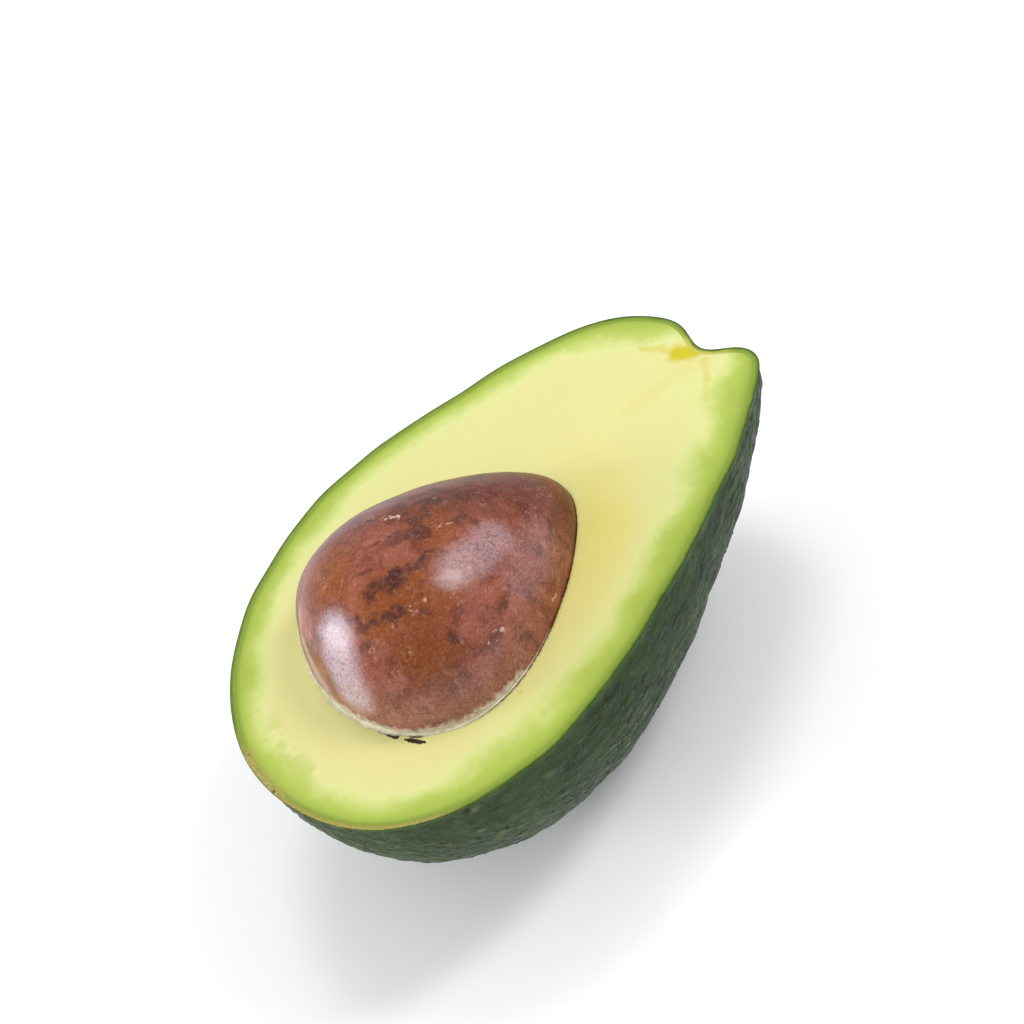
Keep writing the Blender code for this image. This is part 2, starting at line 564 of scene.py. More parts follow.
def noise_pattern(tree, where, scale, detail, output="Fac"):
    """Noise over places, as a value or as a colour."""
    inputs = {"Vector": where, "Scale": scale, "Detail": detail}
    return add_node(tree, "ShaderNodeTexNoise", inputs).outputs[output]


def strayed(tree, where, scale, detail, reach):
    """Places moved about by noise, by up to a reach each way."""
    wander = vector(tree, "MULTIPLY", noise_pattern(tree, where, scale, detail, "Color"), (2 * reach,) * 3)
    return vector(tree, "ADD", where, vector(tree, "SUBTRACT", wander, (reach,) * 3))


def remap(tree, value, low, high, to_low=0.0, to_high=1.0):
    """A value moved smoothly from one range to another."""
    inputs = {"Value": value, "From Min": low, "From Max": high, "To Min": to_low, "To Max": to_high}
    return add_node(tree, "ShaderNodeMapRange", inputs, interpolation_type="SMOOTHSTEP").outputs["Result"]


def blend(tree, share, first, second, mode="MIX"):
    """Two colours mixed by a share."""
    node = add_node(tree, "ShaderNodeMix", data_type="RGBA", blend_type=mode)
    for index, value in ((0, share), (6, first), (7, second)):
        if isinstance(value, bpy.types.NodeSocket):
            tree.links.new(value, node.inputs[index])
        elif index == 0:
            node.inputs[index].default_value = value
        else:
            node.inputs[index].default_value = (*value[:3], 1)
    return node.outputs[2]


def blend_value(tree, share, first, second):
    """Two values mixed by a share."""
    return plus(tree, times(tree, calculate(tree, "SUBTRACT", 1.0, share), first), times(tree, share, second))


def new_group(name, kind, inputs, outputs):
    """An empty node group with named inputs and outputs."""
    group = bpy.data.node_groups.new(name, kind)
    for label, socket_type, default in inputs:
        socket = group.interface.new_socket(label, in_out="INPUT", socket_type=socket_type)
        if default is not None:
            socket.default_value = default
    for label, socket_type in outputs:
        group.interface.new_socket(label, in_out="OUTPUT", socket_type=socket_type)
    return group


def mask_group(name, places, amounts):
    """A shader group that puts out a mask, with named places and amounts as its inputs, and those inputs."""
    inputs = [(label, "NodeSocketVector", None) for label in places]
    inputs += [(label, "NodeSocketFloat", amount) for label, amount in amounts.items()]
    group = new_group(name, "ShaderNodeTree", inputs, (("Mask", "NodeSocketFloat"),))
    return group, add_node(group, "NodeGroupInput").outputs


def mottle_group():
    """Soft irregular patches."""
    amounts = {"Patch Size": 5.0, "Detail": 3.0, "Distortion": 0.0, "From": 0.4, "To": 0.6}
    group, given = mask_group("Mottle", ("Vector",), amounts)
    inputs = {label: given[label] for label in ("Vector", "Detail", "Distortion")}
    inputs["Scale"] = calculate(group, "DIVIDE", 1.0, given["Patch Size"])
    pattern = add_node(group, "ShaderNodeTexNoise", inputs).outputs["Fac"]
    add_node(group, "NodeGroupOutput", {"Mask": remap(group, pattern, given["From"], given["To"])})
    return group


def speckle_group():
    """Small round spots, in some of the cells of an even pattern."""
    group, given = mask_group("Speckle", ("Vector",), {"Cell Size": 2.0, "Share": 0.3, "Radius": 0.2})
    scale = calculate(group, "DIVIDE", 1.0, given["Cell Size"])
    cells = add_node(group, "ShaderNodeTexVoronoi", {"Vector": given["Vector"], "Scale": scale})
    pick = add_node(group, "ShaderNodeSeparateColor", {"Color": cells.outputs["Color"]}).outputs
    chosen = calculate(group, "LESS_THAN", pick[0], given["Share"])
    size = times(group, given["Radius"], plus(group, pick[1], 0.4))
    spot = remap(group, cells.outputs["Distance"], size, times(group, size, 0.5))
    add_node(group, "NodeGroupOutput", {"Mask": times(group, spot, chosen)})
    return group


def stroke_group():
    """A soft stroke from one place to another, or a round spot where the two are next to each other."""
    group, given = mask_group("Stroke", ("Vector", "Start", "End"), {"Width": 1.0})
    way = vector(group, "SUBTRACT", given["End"], given["Start"])
    from_start = vector(group, "SUBTRACT", given["Vector"], given["Start"])
    along = vector(group, "DOT_PRODUCT", from_start, way, "Value")
    reach = vector(group, "DOT_PRODUCT", way, way, "Value")
    share = calculate(group, "DIVIDE", along, reach, clamp=True)
    distance = vector(group, "DISTANCE", from_start, scaled(group, way, share), "Value")
    mask = remap(group, distance, given["Width"], times(group, given["Width"], 0.25))
    add_node(group, "NodeGroupOutput", {"Mask": mask})
    return group


def use_group(tree, name, inputs):
    """Places a shader group in a tree with its own values."""
    makers = {"Mottle": mottle_group, "Speckle": speckle_group, "Stroke": stroke_group}
    group = bpy.data.node_groups.get(name) or makers[name]()
    node = tree.nodes.new("ShaderNodeGroup")
    node.node_tree = group
    for label, value in inputs.items():
        if isinstance(value, bpy.types.NodeSocket):
            tree.links.new(value, node.inputs[label])
        else:
            node.inputs[label].default_value = value
    return node.outputs[0]


def mottle(tree, where, size, low, high, detail=3.0, distortion=0.0):
    """Soft irregular patches of a size, where the noise rises from low to high."""
    inputs = {"Vector": where, "Patch Size": size, "Detail": detail, "Distortion": distortion}
    return use_group(tree, "Mottle", {**inputs, "From": low, "To": high})


def speckle(tree, where, cell, share, radius):
    """Small round spots in a share of the cells."""
    return use_group(tree, "Speckle", {"Vector": where, "Cell Size": cell, "Share": share, "Radius": radius})


def stroke(tree, where, middle, start, end, width):
    """A soft stroke between two places that are given from a middle."""
    start, end = (middle + Vector((*point, 0)[:3]) for point in (start, end))
    return use_group(tree, "Stroke", {"Vector": where, "Start": start, "End": end, "Width": width})


def painted(tree, colour, mask, strength, tone):
    """A colour with a tone laid over it, where a mask says and as strongly as is given."""
    return blend(tree, times(tree, mask, strength), colour, tone)


def feed(shader, label, value):
    """Links a value to one of a shader's sockets."""
    shader.id_data.links.new(value, shader.inputs[label])


def new_material(name, **constants):
    """A material with one Principled shader, whose constants are set on its own sockets."""
    material = bpy.data.materials.new(name)
    material.use_nodes = True
    shader = material.node_tree.nodes["Principled BSDF"]
    for label, value in constants.items():
        shader.inputs[label.replace("_", " ").title().replace("Ior", "IOR")].default_value = value
    return material, material.node_tree, shader


def millimetres(tree, stretch=(1.0, 1.0, 1.0), turn=0.0):
    """The piece's own coordinates, in millimetres, squeezed or turned for a pattern with a direction."""
    coordinates = add_node(tree, "ShaderNodeTexCoord").outputs["Object"]
    inputs = {"Vector": coordinates, "Scale": [1000 * s for s in stretch], "Rotation": (0, 0, turn)}
    return add_node(tree, "ShaderNodeMapping", inputs, vector_type="TEXTURE" if turn else "POINT").outputs[0]


def attribute(tree, name):
    """A number that the mesh stores for each of its points."""
    return add_node(tree, "ShaderNodeAttribute", attribute_name=name).outputs["Fac"]


def bump(tree, height, strength, distance):
    """Small relief, as a normal."""
    inputs = {"Height": height, "Strength": strength, "Distance": distance}
    return add_node(tree, "ShaderNodeBump", inputs).outputs["Normal"]


# Materials

# The rind's colours, from the outer surface to the cut edge
OLIVE_PATCH = (0.050, 0.090, 0.024)
RIDGE = (0.13, 0.18, 0.09)
# pale streaks, partly fine hairs and partly painted sheen
HAIR_AND_SHEEN = (0.29, 0.35, 0.27)
PALE_GREEN = (0.110, 0.155, 0.065)
RIM_GREEN = (0.034, 0.090, 0.005)
RIND_SPOT = (0.009, 0.010, 0.004)
EDGE_OUTER = (0.13, 0.20, 0.022)
EDGE_RIM_NEAR = (0.060, 0.115, 0.010)
EDGE_RIM_FAR = (0.13, 0.17, 0.035)
NOTCH_YELLOW = (0.50, 0.46, 0.10)
DARK_TAN = (0.24, 0.23, 0.055)
CORK_PIT = (0.06, 0.045, 0.012)

# The flesh's colours between those of its settings, by share of BAND_REACH, and its marks
BAND_REACH = 12.0
UNDER_RIND = (0.06, (0.33, 0.43, 0.062))
PALE_BANDS = ((0.25, (0.485, 0.565, 0.155)), (0.33, (0.565, 0.625, 0.210)), (0.42, (0.635, 0.660, 0.270)))
WARM_STREAK = (0.68, 0.65, 0.175)
SMUDGE = (0.46, 0.47, 0.09)
BRUISE = (0.40, 0.47, 0.085)
OVERRIPE = (0.36, 0.32, 0.08)
# painted shade inside the slits
SLIT_SHADE = (0.035, 0.020, 0.008)
# painted shade of the narrow gap along the stone
GAP_SHADE_BROWN = (0.10, 0.060, 0.025)

# The stone's marks
ROSE = (0.30, 0.084, 0.045)
DARK_COAT = (0.080, 0.017, 0.010)
DARK_FLECK = (0.085, 0.018, 0.010)
LIGHT_COAT = (0.42, 0.19, 0.14)
# painted shade for the stone's top and far side
PAINTED_SHADE_TINT = (0.50, 0.36, 0.28)
LIGHT_GRAIN = (0.40, 0.18, 0.14)
DARK_GRAIN = (0.075, 0.017, 0.010)
FINE_LINE = (0.55, 0.36, 0.27)
SCRATCH_TAN = (0.66, 0.45, 0.33)
# pale haze, partly coat remains and partly a painted reflection of the flesh
PINK_HAZE_AND_REFLECTION = (0.40, 0.22, 0.19)
# pale lilac of the bloom strokes, partly dust and partly painted highlight
DUST_AND_HIGHLIGHT = (0.55, 0.44, 0.50)
DRIED_FLESH = (0.66, 0.57, 0.47)


def skin_material(skin):
    """Dark green waxy rind: creases painted darker and pebble tops greyer, partly as painted shade and sheen,
    fine lengthwise wrinkles with pale streaks that are partly painted sheen, and its cut edge.
    """
    material, tree, shader = new_material("avocado rind", ior=1.45, specular_ior_level=0.17)
    place = millimetres(tree)
    grain = add_node(tree, "ShaderNodeAttribute", attribute_name="grain").outputs["Vector"]
    grain = vector(tree, "ADD", scaled(tree, grain, 1000.0), noise_pattern(tree, place, 0.9, 2.0, "Color"))
    cells = {"Vector": grain, "Scale": 0.55, "Smoothness": 0.35}
    cells = add_node(tree, "ShaderNodeTexVoronoi", cells, feature="SMOOTH_F1").outputs["Distance"]
    wrinkle = remap(tree, cells, 0.10, 0.55)
    fine = mottle(tree, grain, 1.1, 0.3, 0.7, detail=4.0)
    patches = mottle(tree, place, 7.0, 0.35, 0.65)
    low = times(tree, calculate(tree, "SUBTRACT", 1.0, attribute(tree, "pebble")), 0.7)
    low = plus(tree, low, times(tree, wrinkle, 0.55))
    # Darker in the creases and greyer on the pebble tops: partly the rind's own colour and partly painted shade
    # in the creases and painted sheen on the tops
    green = blend(tree, remap(tree, low, 0.20, 0.95), skin.green, skin.dark)
    green = painted(tree, green, patches, 0.35, OLIVE_PATCH)
    green = painted(tree, green, times(tree, remap(tree, low, 0.42, 0.05), fine), 0.38, RIDGE)
    drawn_out = vector(tree, "MULTIPLY", grain, (0.25, 1.0, 1.0))
    hairs = remap(tree, noise_pattern(tree, drawn_out, 2.8, 3.0), 0.55, 0.69)
    # Pale hair-like streaks, stronger down the flank where the rind turns under: partly fine hairs and partly
    # painted sheen
    green = painted(tree, green, hairs, attribute(tree, "flank"), HAIR_AND_SHEEN)
    green = painted(tree, green, attribute(tree, "pale"), remap(tree, low, 0.9, 0.2, 0.20, 0.75), PALE_GREEN)
    green = blend(tree, attribute(tree, "rim"), green, RIM_GREEN)
    green = painted(tree, green, speckle(tree, place, 3.4, 0.42, 0.21), 0.9, RIND_SPOT)

    edge = attribute(tree, "edge")
    ragged = remap(tree, noise_pattern(tree, place, 0.5, 4.0), 0.25, 0.75, -0.10, 0.10)
    across = plus(tree, edge, ragged)
    cut = blend(tree, remap(tree, across, 0.25, 0.80), EDGE_OUTER, skin.inner)
    outermost = blend(tree, attribute(tree, "far"), EDGE_RIM_NEAR, EDGE_RIM_FAR)
    cut = blend(tree, remap(tree, across, 0.40, 0.08), cut, outermost)
    cut = painted(tree, cut, attribute(tree, "notch"), remap(tree, across, 0.2, 0.8), NOTCH_YELLOW)
    grainy = noise_pattern(tree, place, 3.0, 4.0)
    tan = blend(tree, remap(tree, grainy, 0.35, 0.65), DARK_TAN, skin.tan)
    fuzzy = plus(tree, across, remap(tree, grainy, 0.3, 0.7, -0.35, 0.35))
    corky = attribute(tree, "corky")
    dried = attribute(tree, "dried")
    cut = painted(tree, cut, dried, calculate(tree, "MAXIMUM", remap(tree, fuzzy, 0.85, 0.50), corky), tan)
    pits = times(tree, speckle(tree, place, 1.1, 0.30, 0.30), plus(tree, corky, 0.15, clamp=True))
    cut = painted(tree, cut, times(tree, pits, dried), 0.85, CORK_PIT)

    on_edge = remap(tree, edge, 0.01, 0.12)
    feed(shader, "Base Color", blend(tree, on_edge, green, cut))
    feed(shader, "Roughness", blend_value(tree, on_edge, remap(tree, fine, 0.0, 1.0, 0.38, 0.52), 0.7))
    height = plus(tree, times(tree, wrinkle, -1.0), times(tree, fine, 0.4))
    height = plus(tree, height, times(tree, hairs, 0.5))
    height = times(tree, height, calculate(tree, "SUBTRACT", 1.0, on_edge))
    feed(shader, "Normal", bump(tree, height, 1.0, 0.32 * MM))
    return material


def flesh_bands(tree, depth, drift, flesh):
    """The flesh's colour by its depth under the rind, in millimetres, with uneven borders between the bands."""
    moved = times(tree, drift, remap(tree, depth, 0.0, 3.0))
    share = calculate(tree, "DIVIDE", plus(tree, depth, moved), BAND_REACH, clamp=True)
    ramp = add_node(tree, "ShaderNodeValToRGB", {"Fac": share})
    stops = ((0.0, flesh.edge_green), UNDER_RIND, (0.16, flesh.lime), *PALE_BANDS, (0.64, flesh.cream))
    elements = ramp.color_ramp.elements
    for position, colour in stops[:-2]:
        elements.new(position)
    for element, (position, colour) in zip(elements, stops):
        element.position = position
        element.color = (*colour[:3], 1)
    return ramp.outputs["Color"]


def flesh_material(flesh, form, stone):
    """Moist flesh: green under the rind, lime, then pale cream, with yellow fibres at the stem dent, and
    painted shade in the slits and the gap by the stone and off its point.
    """
    material, tree, shader = new_material(
        "avocado flesh", ior=1.42, subsurface_weight=0.2, subsurface_scale=2.0 * MM, specular_ior_level=0.3
    )
    shader.inputs["Subsurface Radius"].default_value = (1.0, 0.8, 0.25)
    place = millimetres(tree)
    drift = remap(tree, noise_pattern(tree, place, 0.10, 2.0), 0.25, 0.75, -1.0, 1.0)
    ragged = remap(tree, noise_pattern(tree, place, 0.8, 4.0), 0.25, 0.75, -0.35, 0.35)
    colour = flesh_bands(tree, attribute(tree, "rind_depth"), plus(tree, drift, ragged), flesh)
    # Ochre off the stone's point: partly the flesh's own warmer tone and partly painted shadow and bounce light
    # from the stone
    colour = blend(tree, attribute(tree, "warmth_and_shade"), colour, flesh.ochre)
    lengthwise = millimetres(tree, (0.3, 1.0, 1.0), math.radians(8))
    streaks = mottle(tree, lengthwise, 4.0, 0.54, 0.74, distortion=0.3)
    colour = painted(tree, colour, streaks, 0.35, WARM_STREAK)
    colour = painted(tree, colour, speckle(tree, place, 6.5, 0.22, 0.15), 0.40, SMUDGE)
    colour = painted(tree, colour, mottle(tree, place, 4.5, 0.42, 0.56), attribute(tree, "bruise"), BRUISE)
    moved = strayed(tree, place, 0.35, 4.0, 1.1)
    stem = Vector((form.length / 2 + form.shift - form.dent_depth, form.dent_y, FACE)) * 1000
    for start, end, width, strength in FIBRES:
        colour = painted(tree, colour, stroke(tree, moved, stem, start, end, width), strength, flesh.yellow)
    ripe = remap(tree, ragged, -0.35, 0.35, 0.3, 1.0)
    colour = painted(tree, colour, attribute(tree, "dried"), ripe, OVERRIPE)
    bent = strayed(tree, place, 1.6, 3.0, 0.18)
    middle = Vector(stone.centre) * 1000
    # Painted shade inside the slits between flesh and stone
    for start, end, width in SLITS:
        mask = remap(tree, stroke(tree, bent, middle, start, end, width), 0.15, 0.85)
        colour = blend(tree, mask, colour, SLIT_SHADE)
    # A thin brown line on the flesh along the stone: painted shade of the narrow gap between flesh and stone
    gap_shade = remap(tree, noise_pattern(tree, place, 1.6, 5.0), 0.35, 0.62)
    feed(shader, "Base Color", painted(tree, colour, gap_shade, attribute(tree, "gap_shade"), GAP_SHADE_BROWN))
    wet = mottle(tree, place, 6.0, 0.35, 0.65)
    feed(shader, "Roughness", remap(tree, wet, 0.0, 1.0, 0.40, 0.55))
    smear = millimetres(tree, (0.22, 1.0, 1.0), math.radians(-20))
    feed(shader, "Normal", bump(tree, noise_pattern(tree, smear, 1.4, 5.0), 0.30, 0.09 * MM))
    return material


def stone_material(stone):
    """Satin seed coat: red-brown and mauve, worn to orange, with blotches, scratches and fine grain, painted
    shade over its top, and pale bloom and haze that are partly painted highlights and reflections.
    """
    material, tree, shader = new_material(
        "avocado stone", ior=1.45, specular_ior_level=0.18, coat_roughness=0.22, coat_ior=1.5
    )
    place = millimetres(tree)
    moved = strayed(tree, place, 0.45, 6.0, 2.5)
    middle = Vector(stone.centre) * 1000
    shade = attribute(tree, "shade")

    colour = blend(tree, mottle(tree, place, 6.0, 0.42, 0.60, 7.0, 0.5), stone.red, ROSE)
    colour = painted(tree, colour, mottle(tree, moved, 9.0, 0.46, 0.62, 6.0), 0.6, stone.mauve)
    for x, y, z, radius, strength in WORN_PATCHES:
        mask = stroke(tree, moved, middle, (x, y, z), (x, y, z + 0.1), radius)
        colour = painted(tree, colour, mask, strength, stone.orange)
    colour = painted(tree, colour, mottle(tree, place, 4.2, 0.53, 0.68, 9.0, 0.9), 0.75, DARK_COAT)
    colour = painted(tree, colour, mottle(tree, moved, 1.2, 0.53, 0.70, 7.0, 0.6), 0.50, DARK_FLECK)
    colour = painted(tree, colour, mottle(tree, moved, 2.6, 0.57, 0.75, 8.0, 0.6), 0.40, LIGHT_COAT)
    uneven = remap(tree, noise_pattern(tree, place, 1.1, 6.0), 0.36, 0.52, 0.35, 0.85)
    for start, end, width in BLOTCHES:
        colour = painted(tree, colour, stroke(tree, moved, middle, start, end, width), uneven, stone.blotch)
    # Painted shade: the top and far side of the stone are multiplied darker, and so is a round patch by the
    # blunt end on the near side
    colour = blend(tree, shade, colour, PAINTED_SHADE_TINT, "MULTIPLY")

    grain = noise_pattern(tree, place, 2.2, 6.0)
    colour = painted(tree, colour, remap(tree, grain, 0.50, 0.78), 0.35, LIGHT_GRAIN)
    colour = painted(tree, colour, remap(tree, grain, 0.50, 0.26), 0.45, DARK_GRAIN)
    lines = calculate(tree, "ABSOLUTE", calculate(tree, "SUBTRACT", noise_pattern(tree, moved, 0.55, 3.0), 0.5))
    lines = times(tree, remap(tree, lines, 0.014, 0.003), mottle(tree, place, 4.0, 0.56, 0.64))
    colour = painted(tree, colour, lines, 0.55, FINE_LINE)
    broken = remap(tree, grain, 0.38, 0.50)
    for start, end, width in SCRATCHES:
        mask = times(tree, stroke(tree, moved, middle, start, end, width), broken)
        colour = painted(tree, colour, mask, 0.75, SCRATCH_TAN)

    # A pale haze low on the stone by the blunt end, partly the pale remains of the coat and partly a painted
    # reflection of the bright flesh beside it
    patchy = remap(tree, grain, 0.35, 0.65, 0.35, 1.0)
    colour = painted(tree, colour, attribute(tree, "haze"), patchy, PINK_HAZE_AND_REFLECTION)
    # Painted highlights and sheen, partly dusty bloom: pale lilac strokes over the lamps' reflections and along
    # the far edge
    drifted = strayed(tree, place, 0.45, 6.0, 0.875)
    flecked = remap(tree, grain, 0.35, 0.6, 0.5, 1.0)
    for start, end, width, strength in BLOOM_AND_HIGHLIGHTS:
        mask = times(tree, stroke(tree, drifted, middle, start, end, width), flecked)
        colour = painted(tree, colour, mask, strength, DUST_AND_HIGHLIGHT)
    ragged = remap(tree, noise_pattern(tree, place, 0.9, 4.0), 0.25, 0.75, -0.30, 0.30)
    film = remap(tree, plus(tree, attribute(tree, "film"), ragged), 0.15, 1.0)
    feed(shader, "Base Color", painted(tree, colour, film, 0.9, DRIED_FLESH))
    feed(shader, "Roughness", remap(tree, grain, 0.3, 0.7, 0.30, 0.44))
    feed(shader, "Coat Weight", remap(tree, shade, 0.0, 1.0, 0.34, 0.16))
    feed(shader, "Normal", bump(tree, noise_pattern(tree, place, 1.8, 5.0), 0.45, 0.10 * MM))
    return material


def speck_material():
    """Corky specks on the rind, from near black to red-brown."""
    material, tree, shader = new_material("rind speck", roughness=0.8)
    mask = mottle(tree, millimetres(tree), 5.0, 0.4, 0.6)
    feed(shader, "Base Color", blend(tree, mask, (0.011, 0.012, 0.005), (0.060, 0.034, 0.014)))
    return material


def film_material():
    """Papery, ragged remains of the layer between stone and flesh."""
    material, tree, shader = new_material("papery film", roughness=0.6)
    place = millimetres(tree)
    ragged = remap(tree, noise_pattern(tree, place, 0.7, 4.0), 0.3, 0.7, -0.25, 0.10)
    cover = plus(tree, attribute(tree, "cover"), ragged)
    feed(shader, "Alpha", remap(tree, cover, 0.0, 1.0, 0.0, 0.9))
    mask = mottle(tree, place, 1.2, 0.35, 0.65, detail=4.0)
    feed(shader, "Base Color", blend(tree, mask, (0.70, 0.66, 0.43), (0.80, 0.77, 0.62)))
    return material


def floor_material(stage):
    """A matt floor."""
    material, _, shader = new_material("pale floor", roughness=0.9, specular_ior_level=0.0)
    shader.inputs["Base Color"].default_value = (*stage.floor_colour, 1)
    return material


# The rind's surface, made by Geometry Nodes


def surface_group(name, inputs):
    """A Geometry Nodes group that works on the piece's own mesh, and what it is given."""
    inputs = (("Geometry", "NodeSocketGeometry", None), *inputs)
    group = new_group(name, "GeometryNodeTree", inputs, (("Geometry", "NodeSocketGeometry"),))
    return group, add_node(group, "NodeGroupInput").outputs


def stored(group, name, kind):
    """What the mesh stores under a name."""
    return add_node(group, "GeometryNodeInputNamedAttribute", {"Name": name}, data_type=kind).outputs[0]


def finish_tree(group, geometry, material):
    """Ends a tree: makes its instances real, and gives the result a material."""
    solid = add_node(group, "GeometryNodeRealizeInstances", {"Geometry": geometry}).outputs[0]
    done = add_node(group, "GeometryNodeSetMaterial", {"Geometry": solid, "Material": material}).outputs[0]
    add_node(group, "NodeGroupOutput", {"Geometry": done})
    return group


def pebble_tree(material):
    """Geometry Nodes: presses creases into the outside of the rind, leaving rounded pebbles between them."""
    inputs = (
        ("Pebble Size", "NodeSocketFloat", 2 * MM),
        ("Pebble Height", "NodeSocketFloat", 0.2 * MM),
        ("Ripple Size", "NodeSocketFloat", 7 * MM),
        ("Ripple Height", "NodeSocketFloat", 0.3 * MM),
    )
    group, given = surface_group("Pebbled rind", inputs)
    position = add_node(group, "GeometryNodeInputPosition").outputs[0]
    wander = vector(group, "MULTIPLY", noise_pattern(group, position, 320.0, 2.0, "Color"), (1.6 * MM,) * 3)
    warped = vector(group, "ADD", stored(group, "grain", "FLOAT_VECTOR"), wander)
    scale = calculate(group, "DIVIDE", 1.0, given["Pebble Size"])
    cells = {"Vector": warped, "Scale": scale, "Smoothness": 0.5}
    cells = add_node(group, "ShaderNodeTexVoronoi", cells, feature="SMOOTH_F1").outputs["Distance"]
    fine = times(group, noise_pattern(group, warped, 900.0, 3.0), 0.4)
    crease = plus(group, times(group, remap(group, cells, 0.12, 0.60), 0.8), fine)
    swell = noise_pattern(group, position, calculate(group, "DIVIDE", 1.0, given["Ripple Size"]), 1.0)
    pressed = times(group, crease, given["Pebble Height"])
    pressed = plus(group, pressed, times(group, swell, given["Ripple Height"]))
    pressed = times(group, times(group, pressed, stored(group, "relief", "FLOAT")), -1.0)
    top = {"Geometry": given["Geometry"], "Name": "pebble", "Value": calculate(group, "SUBTRACT", 1.0, crease)}
    marked = add_node(group, "GeometryNodeStoreNamedAttribute", top, data_type="FLOAT", domain="POINT")
    normal = add_node(group, "GeometryNodeInputNormal").outputs[0]
    moved = {"Geometry": marked.outputs[0], "Offset": scaled(group, normal, pressed)}
    return finish_tree(group, add_node(group, "GeometryNodeSetPosition", moved).outputs[0], material)


def speck_tree(material):
    """Geometry Nodes: scatters low corky specks over the outside of the rind."""
    inputs = (
        ("Spacing", "NodeSocketFloat", 2 * MM),
        ("Density", "NodeSocketFloat", 40000.0),
        ("Speck Radius", "NodeSocketFloat", 0.40 * MM),
        ("Seed", "NodeSocketInt", 4),
    )
    group, given = surface_group("Rind specks", inputs)
    scatter = {
        "Mesh": given["Geometry"],
        "Selection": calculate(group, "GREATER_THAN", stored(group, "relief", "FLOAT"), 0.9),
        "Distance Min": given["Spacing"],
        "Density Max": given["Density"],
        "Seed": given["Seed"],
    }
    scatter = add_node(group, "GeometryNodeDistributePointsOnFaces", scatter, distribute_method="POISSON")
    ball = {"Radius": given["Speck Radius"], "Subdivisions": 2}
    size = {"Min": (0.5, 0.5, 0.2), "Max": (1.3, 1.3, 0.4), "Seed": 9}
    placed = {
        "Points": scatter.outputs["Points"],
        "Instance": add_node(group, "GeometryNodeMeshIcoSphere", ball).outputs[0],
        "Rotation": scatter.outputs["Rotation"],
        "Scale": add_node(group, "FunctionNodeRandomValue", size, data_type="FLOAT_VECTOR").outputs[0],
    }
    return finish_tree(group, add_node(group, "GeometryNodeInstanceOnPoints", placed).outputs[0], material)


def add_tree(piece, group, values):
    """Puts a Geometry Nodes tree on a piece and sets its inputs."""
    modifier = piece.modifiers.new(group.name, "NODES")
    modifier.node_group = group
    for item in group.interface.items_tree:
        if item.in_out == "INPUT" and item.name in values:
            modifier[item.identifier] = values[item.name]


# Pieces


def stem_bottom(form):
    """Where the bottom of the stem dent is, seen from above."""
    return np.array([form.length / 2 - form.dent_depth, form.dent_y])


def nearest(points, outline):
    """How far each point is from an outline, seen from above."""
    gaps = np.empty(len(points))
    batch = 4000  # points at once, to keep the table of distances small
    for start in range(0, len(points), batch):
        part = points[start : start + batch, None, :2] - outline[None, :, :2]
        gaps[start : start + batch] = np.sqrt((part**2).sum(axis=2).min(axis=1))
    return gaps


